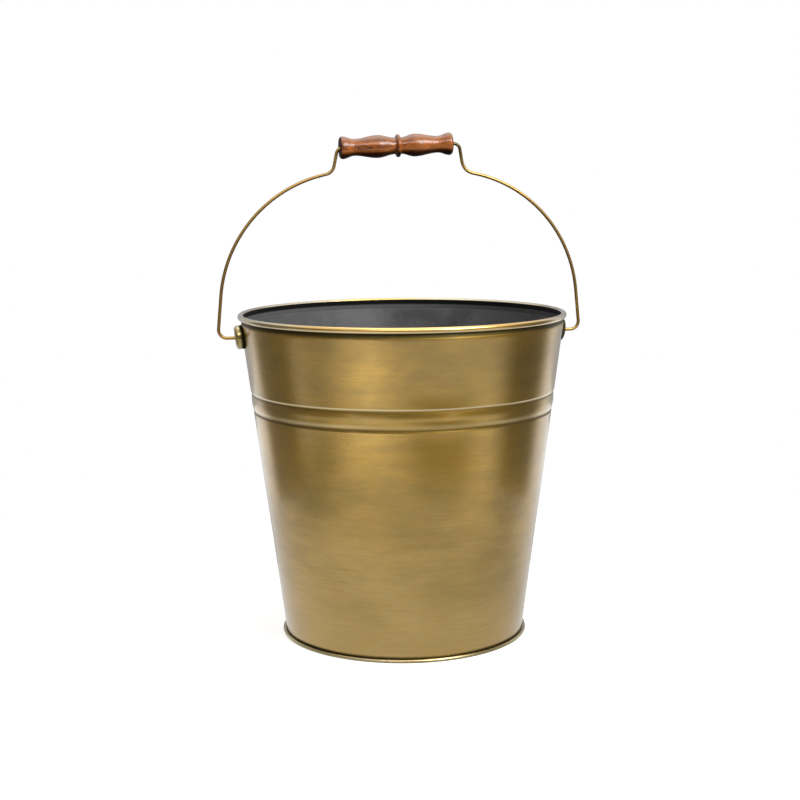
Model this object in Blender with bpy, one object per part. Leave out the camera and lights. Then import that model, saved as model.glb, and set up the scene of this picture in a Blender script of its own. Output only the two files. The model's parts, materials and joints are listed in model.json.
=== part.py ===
"""A tapered metal log bucket with a turned wooden grip on its wire bail.

The wall is one rolled sheet: its rim is curled round a wire, a swaged band runs round it, its side
seam lies under the right ear and its foot flange is hooked into the base. Lengths are in metres,
+Z is up, the floor is at zero, the front faces -Y and the bail swings about X.
"""

import math

import bmesh
import bpy
from mathutils import Matrix, Vector

# Sheet metal and fits
SHEET = 0.0008
FIT_GAP = 0.0003
MERGE_DISTANCE = 0.000001
CUT_OVERRUN = 0.010
MITRE_SHARE = 0.5

# Wall
RIM_HEIGHT = 0.2975
WALL_TOP_RADIUS = 0.1484
WALL_FOOT_RADIUS = 0.1102
FLANGE_WIDTH = 0.0022
FLANGE_BEND = 0.0008

# Rolled rim
RIM_WIRE_RADIUS = 0.0015
RIM_INSET = 0.0010
NECK_DEPTH = 0.0100
NECK_BEND = 0.0020
CURL_SWEEP = 298.0

# Swaged band, placed by the middle of its height
BAND_DROP = 0.0800
BAND_WIDTH = 0.0170
UPPER_GROOVE = 0.0009
LOWER_GROOVE = 0.0006
GROOVE_FLANK = 0.0017
BEAD_RISE = 0.0011

# Side seam
SEAM_WIDTH = 0.0085
SEAM_STEP = 0.0005
SEAM_DROP = 0.0125
SEAM_LIFT = 0.0050
SEAM_ANGLE = 3.0

# Base and its hooked foot ring
RECESS = 0.0030
FOOT_REACH = 0.0037
FOOT_BEND = 0.0010
HOOK_GAP = 0.0003
RISER_BEND = 0.0010

# Ears
EAR_DROP = 0.0205
EAR_RADIUS = 0.01075
EAR_DEPTH = 0.0072
EAR_SHEET = 0.0010
EAR_EDGE = 0.0028
EAR_DOME = 0.0004
EAR_LIP = 0.0006
EAR_LIP_HEIGHT = 0.0012
EAR_SINK = 0.0016
EAR_HOLE_PLAY = 0.0004

# Bail wire, as corners that are rounded; a pair is for its left side and its right side
WIRE_RADIUS = 0.0015
LEG_STANDOFF = 0.0152
LEG_BEND = 0.0076
ARCH_INSET = 0.0118
ARCH_RISE = 0.1248
ARCH_RADIUS = 0.1216
NECK_FOOT_BEND = (0.0095, 0.0130)
NECK_DROP = (0.0218, 0.0248)
NECK_SPREAD = (0.0045, 0.0042)
RUN_CLEARANCE = (0.0017, 0.0065)
RUN_BEND = 0.0058
HEAD_RADIUS = 0.0030
HEAD_LENGTH = 0.0014
HEAD_PLAY = 0.0008
HEAD_TAPER = 0.0003

# Turned grip, placed by its middle from the ear axis
GRIP_LENGTH = 0.1030
GRIP_SHIFT = -0.0043
GRIP_RISE = 0.1701
GRIP_TILT = 1.85
BORE_PLAY = 0.0005
MOUTH_RADIUS = 0.0032
MOUTH_DEPTH = 0.0015
END_ROUND = 0.0026
END_RADIUS = 0.0101
NECK_RADIUS = 0.0075
SWELL_RADIUS = 0.0102
GROOVE_RADIUS = 0.0074
BEAD_RADIUS = 0.0103
BEAD_WIDTH = 0.0036
BEAD_OFFSET = 0.0018
GROOVE_WIDTH = 0.0008
SWELL_SHARE = 0.33
NECK_SHARE = 0.74

# Facets, and the largest steps of bends in degrees
WALL_SEGMENTS = 52
EAR_SEGMENTS = 24
GRIP_SEGMENTS = 16
RIM_WIRE_FACETS = 6
WIRE_BEVEL_RESOLUTION = 2
SHEET_STEP = 32.0
WIRE_STEP = 23.0
CURL_STEP = 35.0
ARCH_STEP = 7.0
BEAD_STEPS = 6
GRIP_CURVE_STEPS = 5
SHARP_ANGLE = 35.0

# Finishes: colour, metallic, roughness
FINISHES = {
    "antique_brass": ((0.40, 0.29, 0.12, 1.0), 1.0, 0.34),
    "brass_wire": ((0.35, 0.22, 0.07, 1.0), 1.0, 0.30),
    "galvanised_wire": ((0.45, 0.46, 0.47, 1.0), 1.0, 0.45),
    "stained_wood": ((0.20, 0.055, 0.022, 1.0), 0.0, 0.28),
}


def wall_radius(height):
    """Radius of the plain wall's outer face at a height."""
    share = height / RIM_HEIGHT
    return WALL_FOOT_RADIUS + (WALL_TOP_RADIUS - WALL_FOOT_RADIUS) * share


def taper():
    """Angle between the wall and the vertical."""
    return math.atan2(WALL_TOP_RADIUS - WALL_FOOT_RADIUS, RIM_HEIGHT)


def facet_angle():
    """Angle that one facet of the wall spans."""
    return math.tau / WALL_SEGMENTS


def run_turn(before, corner, after):
    """Signed angle by which a path turns at a corner, positive to the left."""
    return -(corner - before).angle_signed(after - corner)


def bend_reaches(points, radii):
    """Length that each corner's bend takes from the runs beside it, shared where a run is short."""
    reaches = [0.0] * len(points)
    for i in range(1, len(points) - 1):
        turn = run_turn(points[i - 1], points[i], points[i + 1])
        reaches[i] = radii[i] * math.tan(abs(turn) / 2)
    room = [1.0] * len(points)
    for i in range(len(points) - 1):
        taken = reaches[i] + reaches[i + 1]
        length = (points[i + 1] - points[i]).length
        if taken > length:
            room[i] = min(room[i], length / taken)
            room[i + 1] = min(room[i + 1], length / taken)
    return [reach * share for reach, share in zip(reaches, room)]


def bend_points(before, corner, after, reach, step):
    """Points of the arc that rounds one corner."""
    turn = run_turn(before, corner, after)
    if reach == 0 or turn == 0:
        return [corner]
    heading = (corner - before).normalized()
    start = corner - heading * reach
    radius = reach / math.tan(abs(turn) / 2)
    side = Vector((-heading.y, heading.x)) * math.copysign(1, turn)
    centre = start + side * radius
    count = max(1, math.ceil(math.degrees(abs(turn)) / step))
    turns = [Matrix.Rotation(turn * i / count, 2) for i in range(count + 1)]
    return [centre + rotation @ (start - centre) for rotation in turns]


def rounded_path(corners):
    """A path through (x, z, bend radius, largest step in degrees) corners, each one rounded."""
    points = [Vector(corner[:2]) for corner in corners]
    reaches = bend_reaches(points, [corner[2] for corner in corners])
    path = [points[0]]
    for i in range(1, len(points) - 1):
        step = corners[i][3]
        path += bend_points(points[i - 1], points[i], points[i + 1], reaches[i], step)
    path.append(points[-1])
    apart = [(point - before).length > MERGE_DISTANCE for before, point in zip(path, path[1:])]
    return [point for point, keep in zip(path, [True] + apart) if keep]


def arc_points(centre, radius, start, sweep, step):
    """Points on a clockwise arc, with its angles in degrees."""
    count = math.ceil(sweep / step)
    angles = [math.radians(start - sweep * i / count) for i in range(count + 1)]
    return [centre + radius * Vector((math.cos(a), math.sin(a))) for a in angles]


def sheet_section(path, thickness):
    """Closed outline of a sheet whose middle follows a path."""
    left = []
    right = []
    for i, point in enumerate(path):
        into = point - path[i - 1] if i else path[1] - point
        out = path[i + 1] - point if i + 1 < len(path) else into
        normal = (into.normalized() + out.normalized()).normalized()
        normal = Vector((-normal.y, normal.x))
        stretch = max(normal.dot(Vector((-into.y, into.x)).normalized()), MITRE_SHARE)
        left.append(point + normal * (thickness / 2 / stretch))
        right.append(point - normal * (thickness / 2 / stretch))
    return left + right[::-1]


def disc_section(path, thickness):
    """Closed outline of a sheet that starts on the axis."""
    outline = sheet_section(path, thickness)
    outline[0].x = 0
    outline[-1].x = 0
    return outline


def make_material(name):
    colour, metallic, roughness = FINISHES[name]
    material = bpy.data.materials.get(name)
    if material:
        return material
    material = bpy.data.materials.new(name)
    material.use_nodes = True
    shader = material.node_tree.nodes["Principled BSDF"]
    shader.inputs["Base Color"].default_value = colour
    shader.inputs["Metallic"].default_value = metallic
    shader.inputs["Roughness"].default_value = roughness
    return material


def add_object(name, data, finish, parent=None):
    """Link an object to the scene, with its material."""
    item = bpy.data.objects.new(name, data)
    if finish:
        data.materials.append(make_material(finish))
    item.parent = parent
    bpy.context.scene.collection.objects.link(item)
    return item


def finish_mesh(name, bm):
    """Close, turn outwards and shade a built mesh."""
    bmesh.ops.remove_doubles(bm, verts=bm.verts, dist=MERGE_DISTANCE)
    bmesh.ops.recalc_face_normals(bm, faces=bm.faces)
    mesh = bpy.data.meshes.new(name)
    bm.to_mesh(mesh)
    bm.free()
    mesh.shade_smooth()
    mesh.set_sharp_from_angle(angle=math.radians(SHARP_ANGLE))
    return mesh


def spun_mesh(name, outline, segments):
    """Turn a closed outline of (radius, height) once round Z."""
    bm = bmesh.new()
    corners = [bm.verts.new((radius, 0, height)) for radius, height in outline]
    edges = [bm.edges.new((corners[i - 1], corners[i])) for i in range(len(corners))]
    bmesh.ops.spin(
        bm,
        geom=corners + edges,
        cent=(0, 0, 0),
        axis=(0, 0, 1),
        dvec=(0, 0, 0),
        angle=math.tau,
        steps=segments,
        use_merge=True,
        use_duplicate=False,
    )
    return finish_mesh(name, bm)


def ringed_mesh(name, outline, lifted):
    """Sweep a closed outline round Z, with the lifted points of it raised along the side seam."""
    bm = bmesh.new()
    rings = []
    for angle, lift in wall_angles():
        ring = []
        for i, (radius, height) in enumerate(outline):
            reach = radius + lift if i in lifted else radius
            ring.append(bm.verts.new((reach * math.cos(angle), reach * math.sin(angle), height)))
        rings.append(ring)
    for here, there in zip(rings, rings[1:] + rings[:1]):
        for i in range(len(outline)):
            bm.faces.new((here[i - 1], here[i], there[i], there[i - 1]))
    return finish_mesh(name, bm)


def rim_centre():
    """Centre of the wire in the rolled rim, as (radius, height)."""
    return Vector((WALL_TOP_RADIUS - RIM_INSET, RIM_HEIGHT - bead_radius()))


def bead_radius():
    """Outside radius of the rolled rim."""
    return RIM_WIRE_RADIUS + FIT_GAP + SHEET


def curl_radius():
    """Radius of the middle of the sheet where it curls round the rim wire."""
    return bead_radius() - SHEET / 2


def wall_middle(height, relief=0.0):
    """Point in the middle of the wall's sheet at a height."""
    depth = SHEET / 2 / math.cos(taper())
    return Vector((wall_radius(height) + relief - depth, height))


def band_points():
    """Points in the wall's sheet through the swaged band, a bead between two grooves."""
    bottom = RIM_HEIGHT - BAND_DROP - BAND_WIDTH / 2
    points = [wall_middle(bottom - GROOVE_FLANK)]
    for i in range(BEAD_STEPS + 1):
        share = i / BEAD_STEPS
        groove = LOWER_GROOVE + (UPPER_GROOVE - LOWER_GROOVE) * share
        swell = BEAD_RISE * math.sin(math.pi * share)
        points.append(wall_middle(bottom + BAND_WIDTH * share, swell - groove))
    points.append(wall_middle(bottom + BAND_WIDTH + GROOVE_FLANK))
    return points


def flange_height():
    """Height of the middle of the wall's foot flange, held in the foot ring."""
    return SHEET + HOOK_GAP + SHEET / 2


def foot_points():
    """Points in the wall's sheet from the edge of its foot flange to the bottom of its seam."""
    heel = wall_middle(flange_height())
    edge = Vector((WALL_FOOT_RADIUS + FLANGE_WIDTH, flange_height()))
    top = wall_middle(SEAM_LIFT)
    return rounded_path([(*edge, 0, 0), (*heel, FLANGE_BEND, SHEET_STEP), (*top, 0, 0)])


def seam_points():
    """Points in the wall's sheet over the height where its seam stands out."""
    bottom = wall_middle(SEAM_LIFT + SEAM_STEP)
    top = wall_middle(RIM_HEIGHT - SEAM_DROP - SEAM_STEP)
    return [bottom] + band_points() + [top]


def neck_points():
    """Points in the wall's sheet from the top of its seam to the inner side of the rolled rim."""
    centre = rim_centre()
    inner = centre.x - curl_radius()
    start = wall_middle(RIM_HEIGHT - SEAM_DROP)
    bend = wall_middle(RIM_HEIGHT - NECK_DEPTH)
    throat = Vector((inner, centre.y - NECK_BEND))
    corners = [
        (*start, 0, 0),
        (*bend, NECK_BEND, SHEET_STEP),
        (*throat, NECK_BEND, SHEET_STEP),
        (inner, centre.y, 0, 0),
    ]
    return rounded_path(corners)[:-1]


def curl_points():
    """Points in the sheet that curls out over the rim wire and in below it."""
    return arc_points(rim_centre(), curl_radius(), 180, CURL_SWEEP, CURL_STEP)


def wall_angles():
    """Angles of the wall's sections, each with the seam's lift there: an even turn and the seam."""
    middle = math.radians(SEAM_ANGLE)
    half = SEAM_WIDTH / 2 / WALL_TOP_RADIUS
    edge = half + SEAM_STEP / WALL_TOP_RADIUS
    even = [facet_angle() * (i + 0.5) for i in range(WALL_SEGMENTS)]
    clear = [(a, 0) for a in even if abs(math.remainder(a - middle, math.tau)) > 2 * edge - half]
    seam = [(-edge, 0), (-half, SEAM_STEP), (half, SEAM_STEP), (edge, 0)]
    turned = [((middle + offset) % math.tau, lift) for offset, lift in seam]
    return sorted(clear + turned)


def make_wall():
    """The wall's sheet from its foot flange to the end of its curl, with its lapped side seam."""
    foot = foot_points()
    seam = seam_points()
    path = foot + seam + neck_points() + curl_points()
    first = 2 * len(path) - len(foot) - len(seam)
    lifted = range(first, first + len(seam))
    mesh = ringed_mesh("bucket_wall", sheet_section(path, SHEET), lifted)
    return add_object("bucket_wall", mesh, "antique_brass")


def make_rim_wire():
    """The wire inside the rolled rim."""
    step = 360 / RIM_WIRE_FACETS
    circle = arc_points(rim_centre(), RIM_WIRE_RADIUS, step / 2, 360, step)[:-1]
    wire = add_object("rim_wire", spun_mesh("rim_wire", circle, WALL_SEGMENTS), "galvanised_wire")
    wire.rotation_euler.z = facet_angle() / 2
    return wire


def base_path():
    """The middle of the base's sheet, from its centre to the lip hooked over the wall's flange."""
    floor = RECESS + SHEET / 2
    riser = wall_middle(flange_height()).x - SHEET - FIT_GAP
    ring = WALL_FOOT_RADIUS + FOOT_REACH - SHEET / 2
    hook = flange_height() + SHEET + HOOK_GAP
    lip = wall_radius(hook) + SHEET / 2 + HOOK_GAP
    return rounded_path(
        [
            (0, floor, 0, 0),
            (riser, floor, RISER_BEND, SHEET_STEP),
            (riser, SHEET / 2, RISER_BEND, SHEET_STEP),
            (ring, SHEET / 2, FOOT_BEND, SHEET_STEP),
            (ring, hook, FOOT_BEND, SHEET_STEP),
            (lip, hook, 0, 0),
        ]
    )


def make_base():
    mesh = spun_mesh("bucket_base", disc_section(base_path(), SHEET), WALL_SEGMENTS)
    base = add_object("bucket_base", mesh, "antique_brass")
    base.rotation_euler.z = facet_angle() / 2
    return base


def ear_axis_height():
    return RIM_HEIGHT - EAR_DROP


def ear_face():
    """How far the middle of an ear's outer face lies from the bucket's centre plane."""
    seat = ear_axis_height() + EAR_DEPTH * math.sin(taper())
    return wall_radius(seat) + EAR_DEPTH * math.cos(taper())


def ear_outline():
    """Section of the pressed cup: a domed face, a rounded edge and a skirt with a flared lip."""
    skirt = EAR_RADIUS - EAR_SHEET / 2
    face = EAR_DEPTH - EAR_SHEET / 2
    path = rounded_path(
        [
            (0, face, 0, 0),
            (skirt, face - EAR_DOME, EAR_EDGE - EAR_SHEET / 2, SHEET_STEP),
            (skirt, EAR_LIP_HEIGHT, 0, 0),
            (skirt + EAR_LIP, -EAR_SINK, 0, 0),
        ]
    )
    return disc_section(path, EAR_SHEET)


def as_cutter(item):
    item.hide_render = True
    item.display_type = "WIRE"
    return item


def make_seat_cutter():
    """The wall's outer face with its seam, grown by the fitting gap, to which the ears are cut."""
    low = ear_axis_height() - EAR_RADIUS - CUT_OVERRUN
    high = ear_axis_height() + EAR_RADIUS + CUT_OVERRUN
    gap = FIT_GAP / math.cos(taper())
    outside = [(wall_radius(high) + gap, high), (wall_radius(low) + gap, low)]
    mesh = ringed_mesh("seat_cutter", outside + [(0, low), (0, high)], range(len(outside)))
    return as_cutter(add_object("seat_cutter", mesh, None))


def make_hole_cutter():
    """A rod along the ear axis that bores both ears for the bail wire."""
    bm = bmesh.new()
    bore = WIRE_RADIUS + EAR_HOLE_PLAY
    bmesh.ops.create_cone(
        bm,
        cap_ends=True,
        segments=EAR_SEGMENTS,
        radius1=bore,
        radius2=bore,
        depth=2 * (ear_face() + CUT_OVERRUN),
        matrix=Matrix.Rotation(math.pi / 2, 4, "Y"),
    )
    rod = add_object("hole_cutter", finish_mesh("hole_cutter", bm), None)
    rod.location.z = ear_axis_height()
    return as_cutter(rod)


def make_ear(name, turn, cutters):
    """One pressed cup, seated square on the sloping wall and turned round the bucket."""
    ear = add_object(name, spun_mesh(name, ear_outline(), EAR_SEGMENTS), "antique_brass")
    seat = ear_face() - EAR_DEPTH * math.cos(taper())
    ear.location = (
        seat * math.cos(turn),
        seat * math.sin(turn),
        ear_axis_height() + EAR_DEPTH * math.sin(taper()),
    )
    ear.rotation_euler = (0, math.pi / 2 + taper(), turn)
    for cutter in cutters:
        cut = ear.modifiers.new(cutter.name, "BOOLEAN")
        cut.operation = "DIFFERENCE"
        cut.solver = "EXACT"
        cut.object = cutter
    return ear


def head_stations(side):
    """The upset head of a wire end inside its ear, from the tip outwards: (x, radius share)."""
    inner_face = ear_face() - EAR_SHEET
    shoulder = inner_face - HEAD_PLAY
    thick = HEAD_RADIUS / WIRE_RADIUS
    places = [(shoulder - HEAD_LENGTH, thick), (shoulder, thick), (shoulder + HEAD_TAPER, 1)]
    return [(side * place, share) for place, share in places]


def grip_direction():
    """Direction of the straight run of wire through the grip, in the bail's plane."""
    return Vector((math.cos(math.radians(GRIP_TILT)), math.sin(math.radians(GRIP_TILT))))


def half_bail(side):
    """Corners of one side of the bail from its leg to the run through the grip."""
    pick = max(side, 0)
    leg = side * (ear_face() + LEG_STANDOFF)
    arch = leg - side * ARCH_INSET
    reach = side * (GRIP_LENGTH / 2 + RUN_CLEARANCE[pick])
    run = Vector((GRIP_SHIFT, GRIP_RISE)) + grip_direction() * reach
    neck = run + Vector((side * NECK_SPREAD[pick], -NECK_DROP[pick]))
    return [
        (leg, 0, LEG_BEND, WIRE_STEP),
        (arch, ARCH_RISE, ARCH_RADIUS, ARCH_STEP),
        (*neck, NECK_FOOT_BEND[pick], WIRE_STEP),
        (*run, RUN_BEND, WIRE_STEP),
    ]


def make_bail(pivot):
    """The bent wire with an upset head at each end."""
    left = head_stations(-1)
    right = head_stations(1)[::-1]
    bends = half_bail(-1) + half_bail(1)[::-1]
    corners = [(left[-1][0], 0, 0, 0)] + bends + [(right[0][0], 0, 0, 0)]
    middle = [(x, z, 1) for x, z in rounded_path(corners)]
    ends = [(x, 0, share) for x, share in left[:-1]], [(x, 0, share) for x, share in right[1:]]
    stations = ends[0] + middle + ends[1]

    curve = bpy.data.curves.new("bail_wire", "CURVE")
    curve.dimensions = "3D"
    curve.bevel_depth = WIRE_RADIUS
    curve.bevel_resolution = WIRE_BEVEL_RESOLUTION
    curve.use_fill_caps = True
    spline = curve.splines.new("POLY")
    spline.points.add(len(stations) - 1)
    for point, (x, z, share) in zip(spline.points, stations):
        point.co = (x, 0, z, 1)
        point.radius = share
    return add_object("bail_wire", curve, "brass_wire", pivot)


def eased(start, end, steps):
    """Outline points that flow from one (place, radius) to the next, without the first."""
    points = []
    for i in range(1, steps + 1):
        ease = (1 - math.cos(math.pi * i / steps)) / 2
        place = start[0] + (end[0] - start[0]) * i / steps
        points.append((place, start[1] + (end[1] - start[1]) * ease))
    return points


def bead_points():
    """The bead at the middle of the grip, as (place, radius) from one groove to the other."""
    half = BEAD_WIDTH / 2
    rise = BEAD_RADIUS - GROOVE_RADIUS
    places = [-half, -half * math.sin(math.pi / 4), half * math.sin(math.pi / 4), half]
    radii = [GROOVE_RADIUS + rise / 2, BEAD_RADIUS, BEAD_RADIUS, GROOVE_RADIUS + rise / 2]
    return [(BEAD_OFFSET + place, radius) for place, radius in zip(places, radii)]


def half_grip(side):
    """The grip's outline from the groove beside the bead to its end face, on one side."""
    half = GRIP_LENGTH / 2
    groove = side * BEAD_OFFSET + BEAD_WIDTH / 2 + GROOVE_WIDTH
    flare = (half - END_ROUND, END_RADIUS)
    swell = (half * SWELL_SHARE, SWELL_RADIUS)
    neck = (half * NECK_SHARE, NECK_RADIUS)
    points = [(groove, GROOVE_RADIUS)]
    points += eased(points[-1], swell, GRIP_CURVE_STEPS)
    points += eased(swell, neck, GRIP_CURVE_STEPS)
    points += eased(neck, flare, GRIP_CURVE_STEPS)
    shoulder = (half - END_ROUND / 4, END_RADIUS - END_ROUND / 2)
    points += [shoulder, (half, END_RADIUS - END_ROUND)]
    return [(side * place, radius) for place, radius in points]


def grip_outline():
    """Section of the bored grip as a closed loop of (radius, place along the wire)."""
    half = GRIP_LENGTH / 2
    bore = WIRE_RADIUS + BORE_PLAY
    bottom = [(-half, MOUTH_RADIUS), (-half + MOUTH_DEPTH, bore)]
    top = [(half - MOUTH_DEPTH, bore), (half, MOUTH_RADIUS)]
    outside = half_grip(1)[::-1] + bead_points()[::-1] + half_grip(-1)
    return [Vector((radius, place)) for place, radius in outside + bottom + top]


def make_grip(pivot):
    """The turned grip on an empty that turns about the run of wire."""
    spindle = add_empty("grip_spindle", (GRIP_SHIFT, 0, GRIP_RISE), pivot)
    spindle.rotation_euler.y = math.pi / 2 - math.radians(GRIP_TILT)
    mesh = spun_mesh("wooden_grip", grip_outline(), GRIP_SEGMENTS)
    return add_object("wooden_grip", mesh, "stained_wood", spindle)


def add_empty(name, location, parent=None):
    empty = bpy.data.objects.new(name, None)
    empty.location = location
    empty.parent = parent
    bpy.context.scene.collection.objects.link(empty)
    return empty


def clear_scene():
    for item in list(bpy.data.objects):
        bpy.data.objects.remove(item)


def main():
    clear_scene()
    make_wall()
    make_rim_wire()
    make_base()
    cutters = [make_seat_cutter(), make_hole_cutter()]
    make_ear("ear_right", 0, cutters)
    make_ear("ear_left", math.pi, cutters)
    pivot = add_empty("bail_pivot", (0, 0, ear_axis_height()))
    make_bail(pivot)
    make_grip(pivot)


main()
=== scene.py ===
import json
import math

import bmesh
import bpy
from mathutils import Matrix, Vector


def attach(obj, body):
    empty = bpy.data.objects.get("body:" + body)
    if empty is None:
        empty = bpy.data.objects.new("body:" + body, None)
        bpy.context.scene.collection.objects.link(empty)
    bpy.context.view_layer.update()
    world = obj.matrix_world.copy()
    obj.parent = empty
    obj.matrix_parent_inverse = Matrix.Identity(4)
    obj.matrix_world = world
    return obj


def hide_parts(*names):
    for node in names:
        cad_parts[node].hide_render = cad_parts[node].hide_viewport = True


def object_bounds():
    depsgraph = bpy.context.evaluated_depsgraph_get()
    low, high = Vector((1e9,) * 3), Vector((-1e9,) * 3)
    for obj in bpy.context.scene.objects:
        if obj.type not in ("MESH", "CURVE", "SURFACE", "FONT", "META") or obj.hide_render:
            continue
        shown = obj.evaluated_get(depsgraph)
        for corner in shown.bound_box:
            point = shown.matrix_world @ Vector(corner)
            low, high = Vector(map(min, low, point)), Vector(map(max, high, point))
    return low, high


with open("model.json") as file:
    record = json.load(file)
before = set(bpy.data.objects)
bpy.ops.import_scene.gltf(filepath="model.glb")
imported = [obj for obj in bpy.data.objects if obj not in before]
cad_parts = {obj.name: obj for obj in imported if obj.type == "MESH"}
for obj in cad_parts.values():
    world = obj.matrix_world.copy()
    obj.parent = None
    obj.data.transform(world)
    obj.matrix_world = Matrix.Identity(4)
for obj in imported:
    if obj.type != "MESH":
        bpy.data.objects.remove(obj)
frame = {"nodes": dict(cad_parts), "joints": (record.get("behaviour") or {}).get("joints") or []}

CAD_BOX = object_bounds()

bl_info = {
    "name": "Log Bucket",
    "version": (1, 0, 0),
    "blender": (4, 5, 0),
    "location": "View3D > Sidebar > Log Bucket",
    "description": "Builds a brushed brass log bucket with a wire bail, a turned grip and a studio",
    "category": "Add Mesh",
}

# Places that come from the packed model: the bail's axis, the grip's middle and its line
HINGES = {joint["name"]: joint for joint in frame["joints"]}
EAR_HEIGHT = HINGES["bail_swing"]["pos_m"][2]
GRIP_MIDDLE = Vector(HINGES["grip_spin"]["pos_m"])
GRIP_LINE = Vector(HINGES["grip_spin"]["axis"]).normalized()

# Modelling limits
MERGE_DISTANCE = 0.000001
SHARP_ANGLE = math.radians(38)
CUT_OVERRUN = 0.010

# Facets and rings, and the largest steps of bends in degrees
WALL_STEPS = 256
EAR_STEPS = 72
GRIP_STEPS = 64
BEND_STEP = 9.0
ARCH_STEP = 1.5
WIRE_ROUNDS = 5
BAND_STEPS = 26
WALL_RINGS = 14
BASE_RINGS = 8
EASE_STEPS = 16
SHADE_STEPS = 64

# How far the rim curls round its wire in degrees, and the radius of a head's tip as a share
CURL_SWEEP = 298
HEAD_TIP = 0.8

# Lengths and tints of the studio
SENSOR_WIDTH = 36.0
FLOOR_SIZE = 12.0
CARD_LIFT = 0.001
AMBER = (1.0, 0.92, 0.74)
CREAM = (1.0, 0.95, 0.85)
SAND = (1.0, 0.9, 0.75)

# Name, azimuth from the camera's, distance, width, height, strength, tint, soft share of half the width
STANDING_CARDS = (
    ("left_dark_card", -95, 0.46, 0.49, 0.60, 0.23, AMBER, 0.3),
    ("left_grey_card", -56, 0.50, 0.46, 0.30, 0.20, CREAM, 0.8),
    ("left_white_card", -21, 0.55, 0.38, 0.20, 1.80, (1.0, 0.98, 0.95), 0.8),
    ("right_dark_card", 91, 0.46, 0.56, 0.60, 0.19, AMBER, 0.35),
    ("front_wall_card", 0, 1.10, 1.6, 1.0, 0.20, SAND, 0.1),
    ("left_wall_card", -70, 1.10, 1.6, 1.0, 0.20, SAND, 0.1),
    ("right_wall_card", 70, 1.10, 1.6, 1.0, 0.20, SAND, 0.1),
    ("rear_grey_card", 180, 0.95, 2.6, 1.0, 0.42, (0.97, 0.98, 1.0), 0.3),
    ("left_edge_flag", -139, 0.264, 0.075, 0.30, 0.06, CREAM, 0.8),
    ("right_edge_flag", 139, 0.264, 0.075, 0.30, 0.16, CREAM, 0.9),
)

# Name, azimuth from the camera's, distance, width, depth, strength
FLOOR_CARDS = (
    ("right_floor_card", 26, 0.55, 0.70, 0.35, 0.12),
    ("side_floor_card", 76, 0.30, 0.36, 0.44, 0.55),
    ("left_floor_card", -66, 0.50, 0.50, 0.34, 0.40),
)

# Inner radius, outer radius, strength
FLOOR_SHADE = (0.30, 0.85, 0.72)

# Name, azimuth from the camera's, elevation, distance, width, height, power
LAMPS = (
    ("gloss_lamp", 6, 40, 1.5, 1.3, 0.45, 6.5),
    ("fill_lamp", 46, 36, 1.5, 0.8, 0.8, 20.0),
    ("top_lamp", 180, 78, 1.3, 0.9, 0.9, 4.0),
)


def size(name, default, description):
    """A length that a user would change, in metres."""
    return bpy.props.FloatProperty(
        name=name, description=description, default=default, min=0.0, precision=5, unit="LENGTH"
    )


def turn(name, default, description):
    """An angle that a user would change, given here in degrees."""
    return bpy.props.FloatProperty(
        name=name, description=description, default=math.radians(default), unit="ROTATION"
    )


def pair(name, default, description):
    """A length for the left side and one for the right side."""
    return bpy.props.FloatVectorProperty(
        name=name, description=description, default=default, size=2, unit="LENGTH"
    )


def amount(name, default, description):
    """A share or a strength without a unit."""
    return bpy.props.FloatProperty(name=name, description=description, default=default, min=0.0)


def colour(name, default, description):
    """A linear colour."""
    return bpy.props.FloatVectorProperty(
        name=name, description=description, default=default, size=3, min=0.0, max=1.0, subtype="COLOR"
    )


class LOGBUCKET_PG_wall(bpy.types.PropertyGroup):
    """Sizes of the sheet metal wall, its rolled rim, band and side seam."""

    sheet: size("Sheet", 0.0008, "Thickness of the brass sheet")
    gap: size("Fitting gap", 0.0003, "Gap between pieces that touch")
    height: size("Height", 0.2975, "Height of the rolled rim above the floor")
    top_radius: size("Top radius", 0.1484, "Radius of the wall carried up to the rim's height")
    foot_radius: size("Foot radius", 0.1102, "Radius of the wall at the floor")
    flange: size("Foot flange", 0.0022, "Width of the flange that is held in the foot ring")
    flange_bend: size("Flange bend", 0.0008, "Bend radius between the wall and its foot flange")
    rim_wire: size("Rim wire", 0.0015, "Radius of the wire in the rolled rim")
    rim_inset: size("Rim inset", 0.0010, "How far the rim's wire lies inside the wall's line")
    neck: size("Neck", 0.0100, "Height of the stretch drawn in below the rolled rim")
    neck_bend: size("Neck bend", 0.0020, "Bend radius of the drawn in stretch")
    band_drop: size("Band drop", 0.0800, "Depth of the swaged band's middle below the rim")
    band_width: size("Band width", 0.0170, "Height of the swaged band between its grooves")
    upper_groove: size("Upper groove", 0.0009, "Depth of the groove above the band")
    lower_groove: size("Lower groove", 0.0006, "Depth of the groove below the band")
    groove_flank: size("Groove flank", 0.0017, "Height of each groove's outer flank")
    groove_bend: size("Groove bend", 0.0008, "Bend radius at the bottom of a groove")
    bead_rise: size("Bead rise", 0.0011, "How far the band swells out between its grooves")
    seam_width: size("Seam width", 0.0085, "Width of the lapped side seam")
    seam_step: size("Seam step", 0.0005, "How far the side seam stands proud")
    seam_drop: size("Seam drop", 0.0125, "Where the seam ends below the rim")
    seam_lift: size("Seam lift", 0.0050, "Where the seam starts above the floor")
    seam_turn: turn("Seam place", 3.0, "Angle of the seam's middle from the right ear")
    joint_turn: turn("Rim joint place", 4.4, "Angle of the rolled rim's joint from the right ear")
    joint_width: size("Rim joint width", 0.0006, "Width of the joint in the rolled rim")
    joint_depth: amount("Rim joint depth", 0.16, "Depth of the joint as a share of the rim's radius")


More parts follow.
